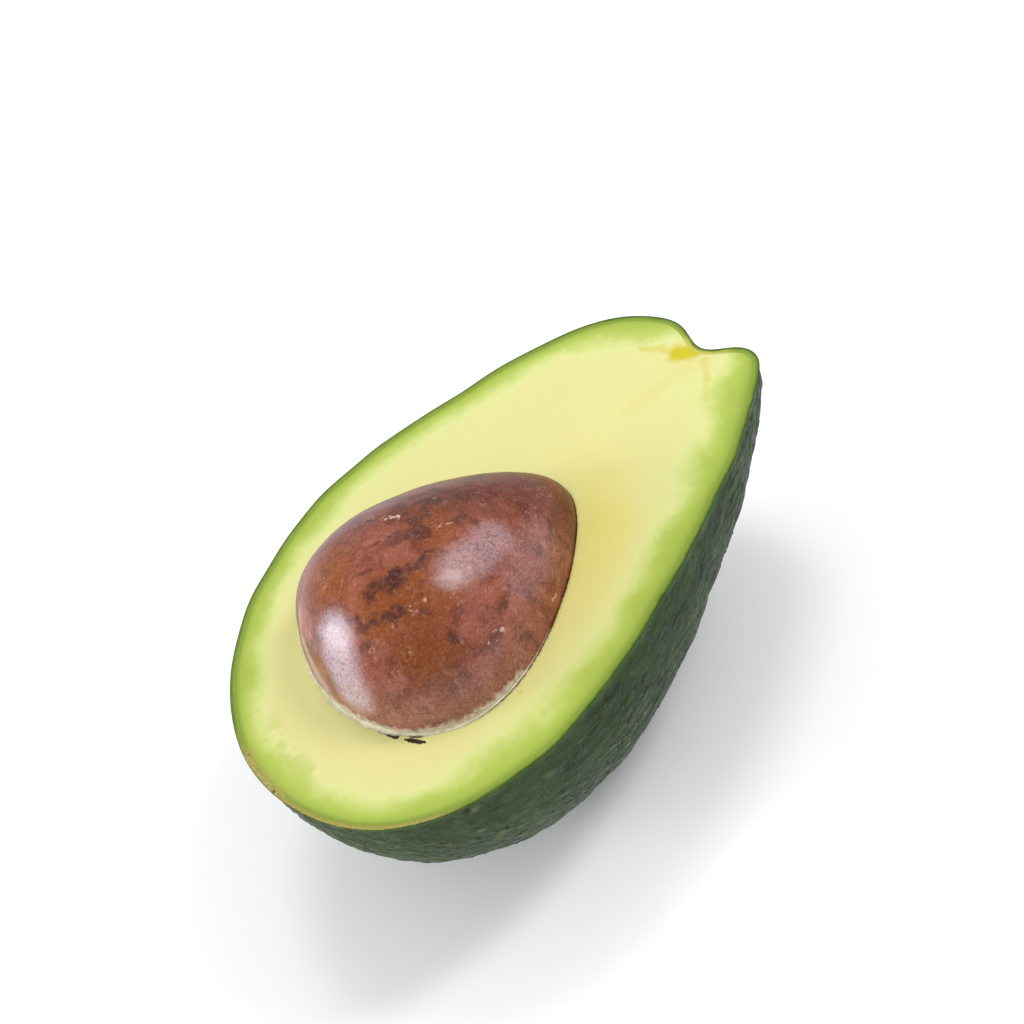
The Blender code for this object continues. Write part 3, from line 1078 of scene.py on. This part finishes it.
class AVOCADO_OT_skin(bpy.types.Operator):
    """Build the rind: a thin pebbled shell, cut off level with the cut face"""

    bl_idname = "avocado.skin"
    bl_label = "Rind"

    cells = 276  # along each side of the grid that is wrapped round the outside
    inner_rows = 9
    thinning = 1.6  # makes up for the specks that are left out because they would be too close together

    def lengthwise(self, ball):
        """Where a pattern is read for each point, so that its cells are drawn out along the fruit."""
        radius = np.hypot(ball[:, 0], ball[:, 1])
        round_it = np.arctan2(ball[:, 1], ball[:, 0])
        wide = (9 + 24 * radius) * MM
        along = np.arccos(np.clip(ball[:, 2], -1, 1)) * 22 * MM
        return np.stack([along, wide * np.cos(round_it), wide * np.sin(round_it)], axis=1)

    def rind(self, form, thickness):
        """The rind before its pebbles: outside, cut edge and inner wall, as one closed mesh."""
        place = fruit_place(form)
        directions = half_ball(self.cells)
        border = grid_border(self.cells)
        rim = directions[border]
        rim = rim / np.linalg.norm(rim, axis=1, keepdims=True)
        edge = moved_out(place, rim, -thickness)
        edge[:, 2] = FACE
        layers = [place(directions), edge]
        first, count = len(directions), len(border)
        ring = np.arange(first, first + count)
        faces = [grid_faces(self.cells), band_faces(border, ring)]
        for row in range(1, self.inner_rows):
            slope = row / self.inner_rows * math.pi / 2
            layers.append(moved_out(place, lowered(rim, slope), -thickness))
            faces.append(band_faces(ring, ring + count))
            ring = ring + count
        layers.append(moved_out(place, LOWEST, -thickness))
        faces.append(fan_faces(ring, ring[-1] + 1))
        points = np.concatenate(layers)
        mesh = new_mesh("skin", points, faces)

        below_face = FACE - points[:, 2]
        relief = smooth_step(0, 1.3 * MM, below_face) * smooth_step(0, 0.3 * MM, points[:, 2])
        relief[first:] = 0
        grain = np.zeros((len(points), 3))
        grain[:first] = self.lengthwise(directions)
        grain[first : first + count] = grain[border]
        cut_edge = np.zeros(len(points))
        cut_edge[first : first + count] = 1
        from_stem = np.linalg.norm(points[:, :2] - stem_bottom(form), axis=1)
        mark_points(
            mesh,
            relief=relief,
            grain=grain,
            edge=cut_edge,
            dried=dried_part(points),
            corky=corky_part(points),
            rim=0.85 * smooth_step(2.2 * MM, 0.4 * MM, below_face),
            # flank: more of the pale streaks lower down, as painted sheen where the rind turns under
            flank=0.14 + 0.66 * smooth_step(5 * MM, 22 * MM, below_face),
            far=smooth_step(0, 16 * MM, points[:, 1] - 0.2 * points[:, 0]),
            pale=smooth_step(-12 * MM, -42 * MM, points[:, 0]),
            notch=np.exp(-((from_stem / (5 * MM)) ** 4)),
        )
        return mesh

    def execute(self, context):
        scene = context.scene
        skin = scene.avocado_skin
        piece = new_object("skin_rind", self.rind(scene.avocado_form, skin.thickness))
        values = {
            "Pebble Size": skin.pebble_size,
            "Pebble Height": skin.pebble_height,
            "Ripple Size": skin.ripple_size,
            "Ripple Height": skin.ripple_height,
        }
        add_tree(piece, pebble_tree(skin_material(skin)), values)
        keep_result(piece)
        specks = new_object("skin_specks", piece.data.copy())
        specks.data.materials.clear()
        area = sum(face.area for face in piece.data.polygons)
        add_tree(specks, speck_tree(speck_material()), {"Density": skin.speck_count / area * self.thinning})
        keep_result(specks)
        finish_piece(piece, ["skin"])
        finish_piece(specks, [])
        return {"FINISHED"}


class AVOCADO_OT_flesh(bpy.types.Operator):
    """Build the flesh: the cut face, the socket of the stone and the outside that fits the rind"""

    bl_idname = "avocado.flesh"
    bl_label = "Flesh"

    spokes = 640
    face_rows = 84
    socket_rows = 16
    wall_rows = 18
    lip_shares = (0, 0.06, 0.2, 0.42, 0.7)  # of the lip's radius, where its rows are
    socket_depth = 20  # millimetres under the rind, for the colour inside the socket

    def socket_turns(self, outline, stone):
        """The turn round the stone that faces each point of the outline."""
        turns = np.linspace(-math.pi, math.pi, 4001)
        along = stone.length / 2 * np.cos(turns)
        across = stone.width / 2 * (1 - stone.pointedness * np.cos(turns)) * np.sin(turns)
        away = outline - np.array(stone.centre)
        wanted = half_turns(np.arctan2(away[:, 1], away[:, 0]) - stone.turn)
        return np.interp(wanted, np.arctan2(across, along), turns)

    def socket_gap(self, around, stone_rim, facing):
        """The gap between stone and flesh at the cut face, widest on the near side and at the slits."""
        near_side = smooth_step(0.3, -0.5, np.sin(around)) * smooth_step(-0.98, -0.5, np.cos(around))
        near_side *= smooth_step(0.98, 0.45, np.cos(around))
        gap = 0.03 + 0.13 * near_side * (1 + 0.7 * rough(stone_rim, 0.25, 7)) + 0.02 * rough(stone_rim, 0.2, 8)
        for start, end, width in SLITS:
            off = half_turns(facing - math.atan2(start[1] + end[1], start[0] + end[0]))
            gap += 0.5 * width * np.exp(-((off / 0.055) ** 4))
        return np.maximum(gap, 0.02) * MM

    def rings(self, form, flesh, stone, inset):
        """Rings of points up the socket, over the cut face and down the outside, and the face's outlines."""
        place, socket = fruit_place(form), stone_place(stone)
        turns = np.linspace(0, 2 * math.pi, self.spokes, endpoint=False)
        rim = np.stack([np.cos(turns), np.zeros(self.spokes), np.sin(turns)], axis=1)
        outline = moved_out(place, rim, -inset)
        outline[:, 2] = FACE
        around = self.socket_turns(outline, stone)
        stone_rim = np.stack([np.sin(around), np.zeros(self.spokes), np.cos(around)], axis=1)
        away = outline - np.array(stone.centre)
        gap = self.socket_gap(around, stone_rim, np.arctan2(away[:, 1], away[:, 0]))
        lip_start = moved_out(socket, stone_rim, gap)
        lip_start[:, 2] = FACE

        in_socket = [moved_out(socket, LOWEST, 0.2 * MM)]
        for row in range(self.socket_rows, 0, -1):
            slope = row / self.socket_rows * math.pi / 2 * 0.97 + 0.03
            in_socket.append(moved_out(socket, lowered(stone_rim, slope), gap))
        way = outline - lip_start
        reach = np.linalg.norm(way, axis=1, keepdims=True)
        way /= reach
        distances = [np.full((self.spokes, 1), share * flesh.lip) for share in self.lip_shares]
        distances += [flesh.lip + share * (reach - flesh.lip) for share in np.linspace(0, 1, self.face_rows)]
        on_face = []
        for distance in distances:
            points = lip_start + distance * way
            turned = np.clip(1 - distance[:, 0] / flesh.lip, 0, 1)
            points[:, 2] = FACE - flesh.lip * (1 - np.sqrt(1 - turned**2))
            on_face.append(points)
        slopes = np.arange(1, self.wall_rows) / self.wall_rows * math.pi / 2
        below = [lowered(rim, slope) for slope in slopes] + [LOWEST]
        wall = [moved_out(place, ball, -inset - 0.25 * MM) for ball in below]
        return in_socket, on_face, wall, outline, lip_start

    def warmth_and_shade(self, points, stone_depth, stone):
        """Where the flesh is warmer: off the point of the stone, where it is partly painted shadow and warm
        bounce light from the stone, and, more weakly, along its near flank.
        """
        turn = np.arctan2(points[:, 1] - stone.centre[1], points[:, 0] - stone.centre[0])
        off_point = np.exp(-(((turn + 0.62) / 0.50) ** 2))
        off_point *= np.exp(-(((stone_depth - 4.5 * MM) / (5.5 * MM)) ** 2))
        flank = np.exp(-(((turn + 1.35) / 0.75) ** 2)) * np.exp(-((stone_depth / (6 * MM)) ** 2))
        uneven = 0.85 + 0.35 * rough(points, 6 * MM, 21, 2)
        return np.clip((0.70 * off_point + 0.34 * flank) * uneven, 0, 1)

    def face_marks(self, points, rind_depth, stone_depth, form, stone):
        """What the material reads at each point of the cut face."""
        x, y = points[:, 0], points[:, 1]
        near_flank = smooth_step(-2 * MM, -20 * MM, y - 0.30 * x) * smooth_step(-48 * MM, -25 * MM, x)
        far_flank = smooth_step(6 * MM, 20 * MM, y) * smooth_step(-38 * MM, -18 * MM, x)
        near_lobe = smooth_step(-3 * MM, -8 * MM, y - form.dent_y) * smooth_step(32 * MM, 44 * MM, x)
        from_stem = np.linalg.norm(points[:, :2] - stem_bottom(form), axis=1)
        depth = rind_depth / MM * (1 + 0.12 * far_flank) / (1 + 0.45 * near_flank)
        depth += 7 * np.exp(-((from_stem / (6.6 * MM)) ** 3))
        depth /= 1 + 0.30 * near_lobe
        depth += 1.2 * np.exp(-((from_stem / (13 * MM)) ** 2)) * (y > form.dent_y)
        in_band = smooth_step(1.5 * MM, 3 * MM, rind_depth) * smooth_step(7.5 * MM, 5.5 * MM, rind_depth)
        beside_stone = np.interp(x, [-34 * MM, -28 * MM, -2 * MM, 9 * MM], [0, 1, 1, 0.15])
        beside_stone = np.where(y < stone.centre[1], beside_stone, 0.35)
        return {
            "rind_depth": depth,
            "warmth_and_shade": self.warmth_and_shade(points, stone_depth, stone),
            "dried": dried_part(points) * corky_part(points) * smooth_step(1.2 * MM, 0.1 * MM, rind_depth),
            "bruise": 0.5 * in_band * smooth_step(12 * MM, 5 * MM, np.hypot(x + 44 * MM, y - 4 * MM)),
            # painted shade of the narrow gap along the stone, strongest on the near side
            "gap_shade": smooth_step(0.50 * MM, 0.08 * MM, stone_depth) * beside_stone,
        }

    def execute(self, context):
        scene = context.scene
        form, flesh, stone = scene.avocado_form, scene.avocado_flesh, scene.avocado_stone
        inset = scene.avocado_skin.thickness + flesh.skin_gap
        in_socket, on_face, wall, outline, lip_start = self.rings(form, flesh, stone, inset)
        layers = in_socket + on_face + wall
        points = np.concatenate(layers)
        ring = np.arange(1, 1 + self.spokes)
        faces = [fan_faces(ring, 0)]
        for _ in layers[2:-1]:
            faces.append(band_faces(ring, ring + self.spokes))
            ring = ring + self.spokes
        faces.append(fan_faces(ring, ring[-1] + 1))

        before = 1 + self.socket_rows * self.spokes
        face = slice(before, before + len(on_face) * self.spokes)
        rind_depth = nearest(points[face], outline)
        stone_depth = nearest(points[face], lip_start)
        wave = rough(points[face], 16 * MM, 11, 2) + 0.25 * rough(points[face], 3.5 * MM, 12, 2)
        points[face, 2] += flesh.waviness * wave * smooth_step(0, 4 * MM, rind_depth)
        mesh = new_mesh("flesh", points, faces)
        marks = self.face_marks(points[face], rind_depth, stone_depth, form, stone)
        marks = {name: np.pad(values, (before, len(points) - face.stop)) for name, values in marks.items()}
        marks["rind_depth"][:before] = self.socket_depth
        mark_points(mesh, **marks)
        mesh.materials.append(flesh_material(flesh, form, stone))
        finish_piece(new_object("flesh_half", mesh), ["flesh"])
        return {"FINISHED"}


class AVOCADO_OT_stone(bpy.types.Operator):
    """Build the stone: an uneven egg with a satin coat"""

    bl_idname = "avocado.stone"
    bl_label = "Stone"

    def execute(self, context):
        stone = context.scene.avocado_stone
        shape = bmesh.new()
        bmesh.ops.create_icosphere(shape, subdivisions=7, radius=1)
        ball = np.array([vertex.co for vertex in shape.verts])
        ball /= np.linalg.norm(ball, axis=1, keepdims=True)
        place = stone_place(stone)
        surface = place(ball)
        relief = rough(surface, 14 * MM, 41, 2) * stone.unevenness * 0.55 - 0.18 * MM
        relief = relief * smooth_step(0.2 * MM, 7 * MM, np.abs(surface[:, 2] - FACE))
        relief += rough(surface, 1.6 * MM, 42) * 0.035 * MM - 0.02 * MM
        points = moved_out(place, ball, relief)
        for vertex, point in zip(shape.verts, points):
            vertex.co = point
        mesh = bpy.data.meshes.new("stone")
        if shape.calc_volume(signed=True) < 0:
            bmesh.ops.reverse_faces(shape, faces=shape.faces)
        shape.to_mesh(mesh)
        shape.free()
        mesh.shade_smooth()
        x, y, over_face = (points - np.array((stone.centre[0], stone.centre[1], FACE))).T
        side = np.arctan2(y, -x)
        high = (2.6 + 1.6 * smooth_step(-0.5, 0.4, side)) * MM
        near_blunt_end = smooth_step(1.25, 0.85, np.abs(side + 0.20))
        # low by the blunt end on the near side: a pale haze, partly a painted reflection of the flesh
        low = smooth_step(13 * MM, 2 * MM, over_face) * smooth_step(1.2, 0.3, np.abs(side + 0.55))
        # shade: painted shade over the top and far side of the stone, plus a darker round patch by the blunt
        # end on the near side
        shade = smooth_step(-1 * MM, 11 * MM, 0.65 * (x + 3.5 * MM) + 0.76 * (y + 1.3 * MM))
        shade += 0.32 * np.exp(-(((x + 13 * MM) ** 2 + (y + 12 * MM) ** 2) / (5.5 * MM) ** 2))
        film = (1 - smooth_step(0, 1, over_face / high)) * near_blunt_end
        mark_points(mesh, film=film, haze=low * 0.45, shade=shade)
        mesh.materials.append(stone_material(stone))
        finish_piece(new_object("stone_seed", mesh), ["stone"])
        return {"FINISHED"}


class AVOCADO_OT_film(bpy.types.Operator):
    """Build the papery film that bridges stone and flesh round the stone's blunt end"""

    bl_idname = "avocado.film"
    bl_label = "Film"

    steps = 260
    rows = 9

    def execute(self, context):
        stone = context.scene.avocado_stone
        place = stone_place(stone)
        around = np.linspace(math.pi - 0.95, math.pi + 1.75, self.steps)
        rim = np.stack([np.sin(around), np.zeros(self.steps), np.cos(around)], axis=1)
        share_round = np.linspace(0, 1, self.steps)
        width = 1.35 - 0.75 * smooth_step(0.25, 0.60, share_round)
        width *= 1 + 0.5 * rough(rim, 0.3, 51) + 0.3 * rough(rim, 0.10, 52)
        width *= smooth_step(0, 0.10, share_round) * smooth_step(1, 0.75, share_round) * 0.85 + 0.15
        layers = []
        cover = []
        for side in (1, -1):  # the top from the flesh up the stone, then the underside back down
            for share in np.linspace(-1, 1, self.rows)[::side]:
                up = max(share, 0) * width * 1.3 * MM
                out = max(-share, 0) * width * 0.9 * MM
                slope = -up / (stone.width / 2)
                lift = (0.04 if side == 1 else 0.01) * MM * (1 - 0.7 * abs(share)) + 0.01 * MM
                ring = np.stack([np.cos(slope) * rim[:, 0], -np.sin(slope), np.cos(slope) * rim[:, 2]], axis=1)
                points = moved_out(place, ring, lift + out)
                if share <= 0:
                    points[:, 2] = FACE + lift + 0.05 * MM * (1 + share)
                layers.append(points)
                cover.append(np.full(self.steps, (1 - abs(share) ** 1.5) * (side == 1)))
        count = len(layers)
        faces = []
        for row in range(count):
            start = row * self.steps
            other = (row + 1) % count * self.steps
            faces.extend((start + i, start + i + 1, other + i + 1, other + i) for i in range(self.steps - 1))
        for end in (0, self.steps - 1):
            for row in range(self.rows - 1):
                top, below = row * self.steps + end, (count - 1 - row) * self.steps + end
                face = (top, top + self.steps, below - self.steps, below)
                faces.append(face if end == 0 else face[::-1])
        mesh = new_mesh("film", np.concatenate(layers), [faces])
        mark_points(mesh, cover=np.concatenate(cover))
        mesh.materials.append(film_material())
        finish_piece(new_object("stone_film", mesh), [])
        return {"FINISHED"}


class AVOCADO_OT_stage(bpy.types.Operator):
    """Build the floor, the light and the camera"""

    bl_idname = "avocado.stage"
    bl_label = "Stage"

    def area_light(self, name, place, size, power, colour):
        """A soft box that faces the fruit."""
        data = bpy.data.lights.new(name, "AREA")
        data.shape = "RECTANGLE"
        data.size, data.size_y = size
        data.energy = power
        data.color = colour
        lamp = bpy.data.objects.new(name, data)
        lamp.location = place
        lamp.rotation_euler = (LIT_PLACE - Vector(place)).to_track_quat("-Z", "Y").to_euler()
        bpy.context.scene.collection.objects.link(lamp)
        return lamp

    def camera(self, scene, stage):
        """The camera looks down on the cut face from beyond the near, blunt end, and is rolled."""
        right = Vector((0.5793, -0.7451, -0.3306))
        up = Vector((0.7400, 0.3107, 0.5965))
        back = Vector((-0.3417, -0.5902, 0.7314))
        face_middle = Vector((-1.5 * MM, -2.6 * MM, FACE))
        away = Vector((-0.12464, -0.22941, 0.28757))
        data = bpy.data.cameras.new("camera")
        data.lens = stage.focal_length
        data.sensor_width = 36.0
        camera = bpy.data.objects.new("camera", data)
        turn = Matrix((right, up, back)).transposed().to_4x4()
        camera.matrix_world = Matrix.Translation(face_middle + away) @ turn
        scene.collection.objects.link(camera)
        scene.camera = camera

    def execute(self, context):
        scene = context.scene
        stage = scene.avocado_stage
        shape = bmesh.new()
        bmesh.ops.create_grid(shape, x_segments=1, y_segments=1, size=stage.floor_size / 2)
        mesh = bpy.data.meshes.new("floor")
        shape.to_mesh(mesh)
        shape.free()
        mesh.materials.append(floor_material(stage))
        new_object("floor", mesh)
        world = bpy.data.worlds.new("studio")
        world.use_nodes = True
        background = world.node_tree.nodes["Background"].inputs
        background["Color"].default_value = (1, 1, 1, 1)
        background["Strength"].default_value = 0.81
        scene.world = world
        self.area_light("window", (-0.85, 0.76, 0.29), (0.42, 0.54), 8.2, (0.94, 0.95, 1.0))
        self.area_light("lamp", (0.60, -0.45, 0.93), (0.18, 0.40), 4.4, (1.0, 0.96, 1.0))
        sky = self.area_light("sky", (0.50, 0.28, 1.60), (0.45, 0.45), 5.6, (1.0, 1.0, 1.0))
        sky.visible_glossy = False
        self.camera(scene, stage)
        scene.view_settings.view_transform = "Standard"
        scene.view_settings.look = "None"
        return {"FINISHED"}


class AVOCADO_PT_panel(bpy.types.Panel):
    """The avocado's pieces and settings"""

    bl_idname = "AVOCADO_PT_panel"
    bl_label = "Avocado Half"
    bl_space_type = "VIEW_3D"
    bl_region_type = "UI"
    bl_category = "Avocado"

    def draw(self, context):
        layout = self.layout
        for operator in OPERATORS:
            layout.operator(operator.bl_idname)
        for name, kind in SETTINGS.items():
            box = layout.box()
            box.label(text=kind.__doc__.split(".")[0])
            for label in kind.__annotations__:
                box.prop(getattr(context.scene, name), label)


SETTINGS = {
    "avocado_form": FruitForm,
    "avocado_skin": SkinSettings,
    "avocado_flesh": FleshSettings,
    "avocado_stone": StoneSettings,
    "avocado_stage": StageSettings,
}
OPERATORS = (AVOCADO_OT_skin, AVOCADO_OT_flesh, AVOCADO_OT_stone, AVOCADO_OT_film, AVOCADO_OT_stage)


def register():
    """Makes the classes known and puts the settings on every scene."""
    for kind in (*SETTINGS.values(), *OPERATORS, AVOCADO_PT_panel):
        bpy.utils.register_class(kind)
    for name, kind in SETTINGS.items():
        setattr(bpy.types.Scene, name, PointerProperty(type=kind))


def unregister():
    """Takes everything away again."""
    for name in SETTINGS:
        delattr(bpy.types.Scene, name)
    for kind in reversed((*SETTINGS.values(), *OPERATORS, AVOCADO_PT_panel)):
        bpy.utils.unregister_class(kind)


def main():
    """Registers the add-on, and builds every piece and the stage."""
    register()
    bpy.ops.avocado.skin()
    bpy.ops.avocado.flesh()
    bpy.ops.avocado.stone()
    bpy.ops.avocado.film()
    bpy.ops.avocado.stage()


if __name__ == "__main__":
    main()
